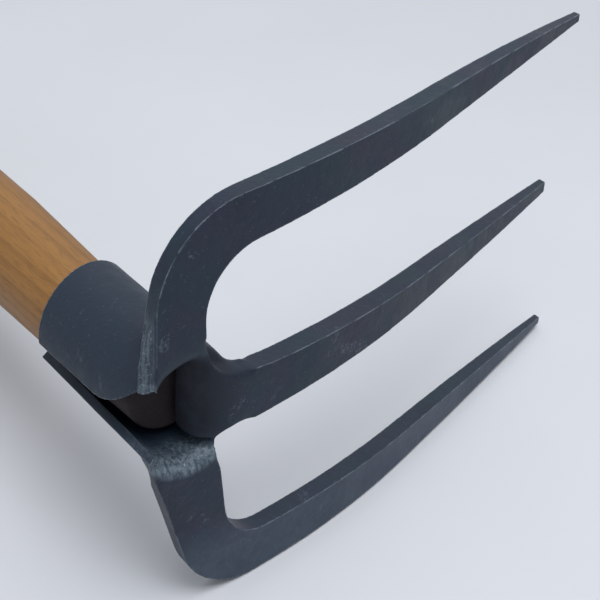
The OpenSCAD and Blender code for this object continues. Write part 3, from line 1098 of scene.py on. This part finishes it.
    def roll_over(self, points: np.ndarray, outward: np.ndarray, away: np.ndarray, share: np.ndarray,
                  face: float, across: float, down: float) -> None:
        """Rolls the face of the fork over into the mouth, as a quarter of an ellipse.

        Args:
            points: The skin's points, which are moved.
            outward: Direction away from the mouth at each.
            away: Distance of each from the mouth's edge.
            share: How much of the roll each takes.
            face: Height of the face.
            across: Width of the roll.
            down: Its depth.
        """
        u = (away - across) / across
        v = (points @ ahead() - face + down) / down
        far = np.maximum(np.hypot(u, v), 1.0)
        pull = np.where((u < 0) & (v > 0) & (away > -self.roll_inset), share * (1 - 1 / far), 0.0)
        points -= (u * across * pull)[:, None] * outward + (v * down * pull)[:, None] * ahead()

    def shape_mouth(self, mesh: bpy.types.Mesh) -> None:
        """Lets the upper arm, the lower lip and the centre prong's root roll into the mouth, and blends them.

        Args:
            mesh: The skin.
        """
        near = Neighbours(mesh)
        points = positions(mesh)
        radius = around_mouth(points)[0]
        outward = points * (1.0, 1.0, 0.0) / np.maximum(radius, 1.0)[:, None]
        arm, lip, curled, upper = (zone.weight(points) for zone in (
            self.arm_zone, self.lip_zone, self.curl_zone, self.root_heights))
        away = radius - self.bore_r
        self.roll_over(points, outward, away, arm, self.face_height, self.arm_roll, self.arm_roll)
        self.roll_over(points, outward, away, lip, self.face_height, self.lip_roll, self.lip_roll_depth)
        x, root = points[:, 0], self.root_span.weight(points) * upper
        along = np.tile([1.0, 0.0, 0.0], (len(points), 1))
        away = x - self.root_start
        self.roll_over(points, along, away, root, self.root_face, self.root_roll, self.root_roll_depth)
        bend = np.clip((self.root_curl_reach - x) / (self.root_curl_reach - self.root_start), 0, 1)
        points -= (self.root_curl * (1 - np.sqrt(1 - bend * bend)) * root * curled)[:, None] * ahead()
        share = 0.5 * np.maximum(*(zone.weight(points) for zone in self.blend_zones))
        for _ in range(self.blend_passes):
            points += share[:, None] * (near.mean(points) - points)
        set_positions(mesh, points)

    def mark_edges(self, mesh: bpy.types.Mesh) -> None:
        """Stores how sharply the skin turns outward at each vertex, from 0 to 1.

        Args:
            mesh: The skin.
        """
        near = Neighbours(mesh)
        points, out = positions(mesh), normals(mesh)
        turn = -np.einsum("ij,ij->i", near.mean(points) - points, out) / self.cell
        turn = 0.5 * turn + 0.5 * near.mean(turn)
        store_mark(mesh, EDGE_MARK, climb(turn, *self.edge_turn))

    def dent(self, mesh: bpy.types.Mesh) -> None:
        """Presses the hammer's dents, the scale, the beads' crests and the file's marks into the skin.

        Args:
            mesh: The skin. It also gets its marks for torn metal with painted light on the mouth's lower lip,
                for painted shade in the mouth, and for painted light on the lower front faces.
        """
        points, out = positions(mesh), normals(mesh)
        bead, filed, wear_and_light, lit_lower_faces, root, wall = (zone.weight(points) for zone in (
            self.bead_zone, self.filed_zone, self.lit_wall_zone, self.lit_lower_zone, self.root_shade, self.wall_shade))
        hacked = window(np.linalg.norm(points - self.hacked_corner, axis=1), *self.hacked_reach)
        filed = np.maximum(filed, hacked)
        depth = self.hammer.at(points) + self.scale.at(points)
        depth += bead * self.crests.at(points) + filed * self.file_marks.at(points)
        # Torn metal of the beads and the file marks, and painted light on the mouth's lower lip and inner wall.
        store_mark(mesh, TORN_AND_LIT_MARK, np.maximum.reduce([bead, filed, self.wear_and_light_share * wear_and_light]))
        # Painted shade in the mouth's hollow.
        store_mark(mesh, SHADE_MARK, np.maximum(root, self.wall_shade_share * wall))
        # Painted light on the lower front faces.
        store_mark(mesh, LIT_LOWER_MARK, lit_lower_faces * climb(out @ ahead(), *self.lit_lower_facing))
        set_positions(mesh, points - out * depth[:, None])

    def build(self) -> bpy.types.Object:
        """Builds the skin.

        Returns:
            The finished skin, in head millimetres.
        """
        skin, arris = self.cover()
        self.even_out(skin.data, arris)
        self.shape_mouth(skin.data)
        self.mark_edges(skin.data)
        self.dent(skin.data)
        return skin


def store_mark(mesh: bpy.types.Mesh, name: str, values: np.ndarray) -> None:
    """Stores a value from 0 to 1 on each vertex, for the materials to read.

    Args:
        mesh: The mesh.
        name: Name of the mark.
        values: The values.
    """
    if name in mesh.attributes:
        mesh.attributes.remove(mesh.attributes[name])
    mesh.attributes.new(name, "FLOAT", "POINT").data.foreach_set("value", values.astype(np.float32))


def settle(piece: bpy.types.Object, slot: Slot) -> bpy.types.Object:
    """Lets a piece ride on the hoe's one body, and logs its material slot.

    Args:
        piece: The piece.
        slot: Its slot.

    Returns:
        The piece.
    """
    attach(piece, "root")
    LOG.info("%s: %d faces, %s", piece.name, len(piece.data.polygons), slot.value)
    return piece


@dataclass
class ForkHead:
    """The steel head: three prongs, the rolled socket, and the welds round its mouth."""

    wall_r: float = 22.65
    seat_x: float = 7.15
    root_x: float = 0.7
    root_low: float = -13.8
    root_under: float = -4.25
    half_thickness: float = 3.4
    fillet_leg: float = 5.6
    bead_ceiling: float = 5.0
    bead_floor: float = 0.6
    fillet_r: tuple[float, float] = (22.0, 28.3)

    def parts(self) -> list[HeadPart]:
        """Lists the head's pieces, each with its space.

        Returns:
            The pieces in the order in which they are taken out of the skin.
        """
        r, t = self.wall_r, self.half_thickness
        fillet = (-t - self.fillet_leg, 0.2 - t)
        centre_fillet = (-t - 0.4 - self.fillet_leg, -t - 0.2)
        seat_y = math.sqrt(r * r - self.seat_x**2)
        turns = np.linspace(math.atan2(seat_y, self.seat_x), math.acos(self.root_x / r), 9)
        wall = [(r * math.cos(a), r * math.sin(a)) for a in turns]
        front = ((self.root_x, self.root_low), (26.0, self.root_low), (26.0, seat_y))
        root = Region((*front, *wall), self.root_under, 20.0)
        bar = Region(((self.seat_x, seat_y), (self.seat_x, 36.0), (300.0, 36.0), (300.0, -36.0), (14.0, -36.0),
                      (11.0, self.root_low), (11.0, -r * 0.6), *self.front_wall()), -150.0, 25.0)
        bead = (self.bead_floor - t, self.bead_ceiling)
        beads = (
            ("lower_weld", Region.ring(19.4, 25.6, -140, -60, *bead)),
            ("upper_weld", Region.ring(20.8, 25.4, 76, 136, *bead)),
            ("upper_fillet", Region.ring(*self.fillet_r, 80, 131, *fillet)),
            ("lower_fillet", Region.ring(*self.fillet_r, -124, -66, *fillet)),
            ("centre_fillet", Region.ring(*self.fillet_r, -28, 24, *centre_fillet)),
        )
        upper_side = ((-60.0, 0.0), (300.0, 0.0), (300.0, 150.0), (-60.0, 150.0))
        return [
            *(HeadPart(node, node + "_bead", Slot.WELD, (region,)) for node, region in beads),
            HeadPart("centre_prong", "centre_prong_bar", Slot.STEEL, (root, bar)),
            HeadPart("socket", "rolled_socket", Slot.STEEL, (Region.round(r, -120.0, 20.0),)),
            HeadPart("upper_prong", "upper_prong_bar", Slot.STEEL, (Region(upper_side, -150.0, 40.0),)),
            HeadPart("lower_prong", "lower_prong_bar", Slot.STEEL),
        ]

    def front_wall(self) -> list[tuple[float, float]]:
        """Returns plan points along the front of the tube's wall, from its lower to its upper side."""
        turns = np.radians(np.linspace(-37.0, 71.6, 16))
        return [(self.wall_r * math.cos(a), self.wall_r * math.sin(a)) for a in turns]

    def take(self, rest: bpy.types.Object, part: HeadPart) -> bpy.types.Object:
        """Cuts a part out of what is left of the skin.

        Args:
            rest: What is left. It loses the part.
            part: The part.

        Returns:
            The part's object, in head millimetres.
        """
        piece = new_object(part.name, rest.data.copy())
        if part.regions:
            tool, *others = [region.tool() for region in part.regions]
            for other in others:
                carve(tool, other, "UNION")
            carve(piece, tool, "INTERSECT")
            carve(rest, tool, "DIFFERENCE")
            discard(tool, *others)
        keep_largest(piece.data)
        merge_slivers(piece.data)
        piece.data.name = part.name
        return piece

    def build(self) -> None:
        """Builds the skin, parts it, and lays and dresses every piece."""
        parts = self.parts()
        skin = HeadSkin(tuple(part.node for part in parts)).build()
        rest = new_object("rest", skin.data.copy())
        pieces = [self.take(rest, part) for part in parts]
        skin.data.transform(HEAD.to_scene())
        likeness = SkinLikeness(skin.data)
        for part, piece in zip(parts, pieces):
            mesh = piece.data
            mesh.transform(HEAD.to_scene())
            set_positions(mesh, np.clip(positions(mesh), np.array(CAD_BOX[0]), np.array(CAD_BOX[1])))
            likeness.copy_to(mesh)
            finish = WeldMetal() if part.slot is Slot.WELD else ForgedSteel()
            mesh.materials.clear()
            mesh.materials.append(finish.material())
            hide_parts(part.node)
            settle(piece, part.slot)
        discard(skin, rest)


def keep_largest(mesh: bpy.types.Mesh) -> None:
    """Deletes every loose scrap of a mesh but its largest connected part.

    Args:
        mesh: The mesh.
    """
    near = Neighbours(mesh)
    label = np.arange(near.count)
    while True:
        low = np.minimum(label[near.a], label[near.b])
        grown = label.copy()
        np.minimum.at(grown, near.a, low)
        np.minimum.at(grown, near.b, low)
        grown = grown[grown]
        if np.array_equal(grown, label):
            break
        label = grown
    names, sizes = np.unique(label, return_counts=True)
    scraps = np.flatnonzero(label != names[sizes.argmax()])
    if len(scraps):
        LOG.info("%s: %d vertices of scraps removed", mesh.name, len(scraps))
        work = bmesh.new()
        work.from_mesh(mesh)
        work.verts.ensure_lookup_table()
        bmesh.ops.delete(work, geom=[work.verts[i] for i in scraps], context="VERTS")
        work.to_mesh(mesh)
        work.free()


def merge_slivers(mesh: bpy.types.Mesh, reach: float = 0.003) -> None:
    """Merges vertices that a cut leaves almost on each other, and parts every face into triangles.

    Args:
        mesh: The mesh. Of triangles that lie on each other, none is kept.
        reach: How near such vertices are, in millimetres.
    """
    work = bmesh.new()
    work.from_mesh(mesh)
    bmesh.ops.remove_doubles(work, verts=work.verts, dist=reach)
    bmesh.ops.triangulate(work, faces=work.faces, ngon_method="BEAUTY")
    work.verts.index_update()
    alike = {}
    for face in work.faces:
        alike.setdefault(tuple(sorted(vertex.index for vertex in face.verts)), []).append(face)
    flaps = [face for faces in alike.values() if len(faces) > 1 for face in faces]
    bmesh.ops.delete(work, geom=flaps, context="FACES")
    work.to_mesh(mesh)
    work.free()


class SkinLikeness:
    """Normals and marks of the whole skin, for pieces that were parted from it.

    A piece that reads them shows no seam where it meets its neighbour.
    """

    def __init__(self, skin: bpy.types.Mesh) -> None:
        """Reads the whole skin.

        Args:
            skin: Its mesh, in the scene's axes.
        """
        self.normals = normals(skin)
        self.marks = {}
        for name in (EDGE_MARK, TORN_AND_LIT_MARK, SHADE_MARK, LIT_LOWER_MARK):
            self.marks[name] = np.zeros(len(skin.vertices), np.float32)
            skin.attributes[name].data.foreach_get("value", self.marks[name])
        self.tree = KDTree(len(skin.vertices))
        for i, vertex in enumerate(skin.vertices):
            self.tree.insert(vertex.co, i)
        self.tree.balance()

    def copy_to(self, mesh: bpy.types.Mesh) -> None:
        """Gives a piece the normals and the marks of the nearest points of the skin.

        Args:
            mesh: The piece's mesh.
        """
        nearest = np.array([self.tree.find(vertex.co)[1] for vertex in mesh.vertices])
        for name, values in self.marks.items():
            store_mark(mesh, name, values[nearest])
        mesh.polygons.foreach_set("use_smooth", np.ones(len(mesh.polygons), bool))
        mesh.normals_split_custom_set_from_vertices(self.normals[nearest].tolist())


@dataclass
class Handle:
    """The turned wooden handle, in millimetres."""

    length: float = 1000.0
    shaft_d: float = 42.0
    neck_d: float = 37.4
    taper: float = 0.07
    nose_d: float = 31.0
    nose_round: float = 1.5
    setback: float = 14.0
    socket_length: float = 79.0
    butt_round: float = 7.0
    sides: int = 128
    ring_step: float = 4.0
    unevenness: float = 0.18
    dip_size: Triple = (24.0, 24.0, 70.0)
    dip_seed: float = 31.0
    rubbed_ends: tuple[float, float] = (3.0, 5.0)
    rubbed_r: float = 10.0

    def profile(self) -> list[tuple[float, float]]:
        """Lists the rings that the handle is turned from.

        Returns:
            Radius and height of each, from the front end to the butt.
        """
        neck_r, shaft_r, nose_r = self.neck_d / 2, self.shaft_d / 2, self.nose_d / 2
        neck_end = -self.socket_length - (shaft_r - neck_r) * 2 / self.taper
        core = nose_r - self.nose_round
        rings = [(r, -self.setback) for r in np.linspace(0.5, core, 9)[:-1]]
        rings += [
            (core + self.nose_round * math.sin(a), self.nose_round * (math.cos(a) - 1) - self.setback)
            for a in np.linspace(0, math.pi / 2, 5)
        ]
        rings += self.along((nose_r, -self.setback - self.nose_round), (neck_r, -self.socket_length))[1:]
        rings += self.along((neck_r, -self.socket_length), (shaft_r, neck_end))
        rings += self.along((shaft_r, neck_end), (shaft_r, self.butt_round - self.length))
        rings += [
            (shaft_r - self.butt_round * (1 - math.cos(a)), self.butt_round * (1 - math.sin(a)) - self.length)
            for a in np.linspace(0.15, math.pi / 2, 9)
        ]
        rings += [(r, -self.length) for r in np.linspace(shaft_r - self.butt_round, 0.5, 8)[1:]]
        return rings

    def along(self, start: tuple[float, float], end: tuple[float, float]) -> list[tuple[float, float]]:
        """Returns rings at an even step from one radius and height to another, without the last."""
        steps = max(2, round(abs(end[1] - start[1]) / self.ring_step))
        return [tuple(np.add(start, np.multiply(np.subtract(end, start), i / steps))) for i in range(steps)]

    def build(self) -> bpy.types.Object:
        """Builds and dresses the handle.

        Returns:
            The finished object, riding on the hoe's body.
        """
        rings = self.profile()
        angles = np.arange(self.sides) * 2 * math.pi / self.sides
        points = np.array([(r * math.cos(a), r * math.sin(a), z) for r, z in rings for a in angles])
        out = points * (1.0, 1.0, 0.0)
        out /= np.linalg.norm(out, axis=1)[:, None]
        dips = 0.5 + 0.5 * perlin(points, self.dip_size, self.dip_seed)
        points -= out * (self.unevenness * dips)[:, None]
        faces = []
        for i in range(len(rings) - 1):
            for j in range(self.sides):
                k = (j + 1) % self.sides
                row, below = i * self.sides, (i + 1) * self.sides
                faces.append((row + j, below + j, below + k, row + k))
        faces.append(tuple(range(self.sides)))
        last = (len(rings) - 1) * self.sides
        faces.append(tuple(last + j for j in reversed(range(self.sides))))
        mesh = bpy.data.meshes.new("turned_handle")
        mesh.from_pydata(points.tolist(), [], faces)
        front, butt = -self.setback - self.rubbed_ends[0], self.rubbed_ends[1] - self.length
        mark = [1.0 if r > self.rubbed_r and (z > front or z < butt) else 0.0 for r, z in rings]
        store_mark(mesh, EDGE_MARK, np.repeat(mark, self.sides))
        mesh.transform(HEAD.to_scene())
        mesh.polygons.foreach_set("use_smooth", np.ones(len(mesh.polygons), bool))
        mesh.materials.append(OiledWood().material())
        piece = new_object("turned_handle", mesh)
        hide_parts("handle")
        return settle(piece, Slot.WOOD)


@dataclass
class Studio:
    """Floor, light and camera."""

    floor_size: float = 12.0
    floor_drop: float = 0.0004
    horizon: Triple = (0.66, 0.69, 0.735)
    ambient: Triple = (0.93, 0.96, 1.0)
    ambient_strength: tuple[float, float] = (0.2, 0.75)
    glow_from: float = -0.2
    back_lamp: tuple[Triple, float, float] = ((0.50, 0.05, 1.8), 1.5, 7.0)
    top_lamp: tuple[Triple, float, float] = ((-0.35, -1.05, 1.90), 1.0, 24.0)
    sensor: float = 36.0
    nearest: float = 0.02
    lens: float = 88.2
    camera_mm: Triple = (-223.3, 297.6, 349.0)
    camera_right: Triple = (0.8093, 0.0501, 0.5853)
    camera_down: Triple = (-0.2692, -0.8539, 0.4453)
    camera_forward: Triple = (0.5221, -0.5180, -0.6776)

    def floor(self) -> None:
        """Lays the floor."""
        half = self.floor_size / 2
        mesh = bpy.data.meshes.new("floor")
        corners = [(-half, -half), (half, -half), (half, half), (-half, half)]
        mesh.from_pydata([(x, y, -self.floor_drop) for x, y in corners], [], [(0, 1, 2, 3)])
        mesh.materials.append(PaleFloor().material())
        new_object("floor", mesh)

    def sky(self) -> None:
        """Lights the scene evenly from all round, behind a plain pale background."""
        world = bpy.data.worlds.new("studio")
        world.use_nodes = True
        bpy.context.scene.world = world
        sheet = Sheet(world.node_tree)
        light = world.node_tree.nodes["Background"]
        light.inputs["Color"].default_value = (*self.ambient, 1)
        way = sheet.add("SeparateXYZ")
        sheet.join(sheet.add("TexCoord").outputs["Generated"], way.inputs[0])
        glow = sheet.ramp(way.outputs["Z"], self.glow_from, 1.0, *self.ambient_strength)
        sheet.join(glow, light.inputs["Strength"])
        seen = sheet.add("Background")
        seen.inputs["Color"].default_value = (*self.horizon, 1)
        path = sheet.add("LightPath")
        share = sheet.math("MAXIMUM", path.outputs["Is Camera Ray"], path.outputs["Is Glossy Ray"])
        share = sheet.math("MAXIMUM", share, path.outputs["Is Transmission Ray"])
        mix = sheet.add("MixShader")
        sheet.join(share, mix.inputs[0])
        sheet.join(light.outputs[0], mix.inputs[1])
        sheet.join(seen.outputs[0], mix.inputs[2])
        sheet.join(mix.outputs[0], world.node_tree.nodes["World Output"].inputs["Surface"])

    def softbox(self, name: str, place: Triple, size: float, watts: float) -> None:
        """Hangs a soft square lamp that points at the head of the hoe.

        Args:
            name: Its name.
            place: Its place, in metres.
            size: Its side, in metres.
            watts: Its power.
        """
        lamp = bpy.data.lights.new(name, "AREA")
        lamp.shape, lamp.size, lamp.energy = "SQUARE", size, watts
        hung = new_object(name, lamp)
        target = Vector(HEAD.origin_mm) * MM
        hung.location = place
        hung.rotation_mode = "QUATERNION"
        hung.rotation_quaternion = (target - Vector(place)).to_track_quat("-Z", "Y")

    def camera(self) -> None:
        """Sets the camera where the photograph's was, from its place on the head's axes."""
        data = bpy.data.cameras.new("camera")
        data.sensor_width, data.lens, data.clip_start = self.sensor, self.lens, self.nearest
        camera = new_object("camera", data)
        turn = HEAD.turn()
        sides = (self.camera_right, self.camera_down, self.camera_forward)
        right, down, forward = (turn @ Vector(side) for side in sides)
        axes = Matrix((right, -down, -forward)).transposed()
        camera.rotation_mode = "QUATERNION"
        camera.rotation_quaternion = axes.to_quaternion()
        camera.location = HEAD.to_scene() @ Vector(self.camera_mm)
        bpy.context.scene.camera = camera

    def build(self) -> None:
        """Builds the floor, the light and the camera."""
        self.floor()
        self.sky()
        self.softbox("back_softbox", *self.back_lamp)
        self.softbox("top_softbox", *self.top_lamp)
        self.camera()
        bpy.context.scene.view_settings.view_transform = "Standard"


def main() -> None:
    """Builds the studio, the head and the handle."""
    logging.basicConfig(level=logging.INFO, format="%(name)s: %(message)s")
    Studio().build()
    ForkHead().build()
    Handle().build()


if __name__ == "__main__":
    main()
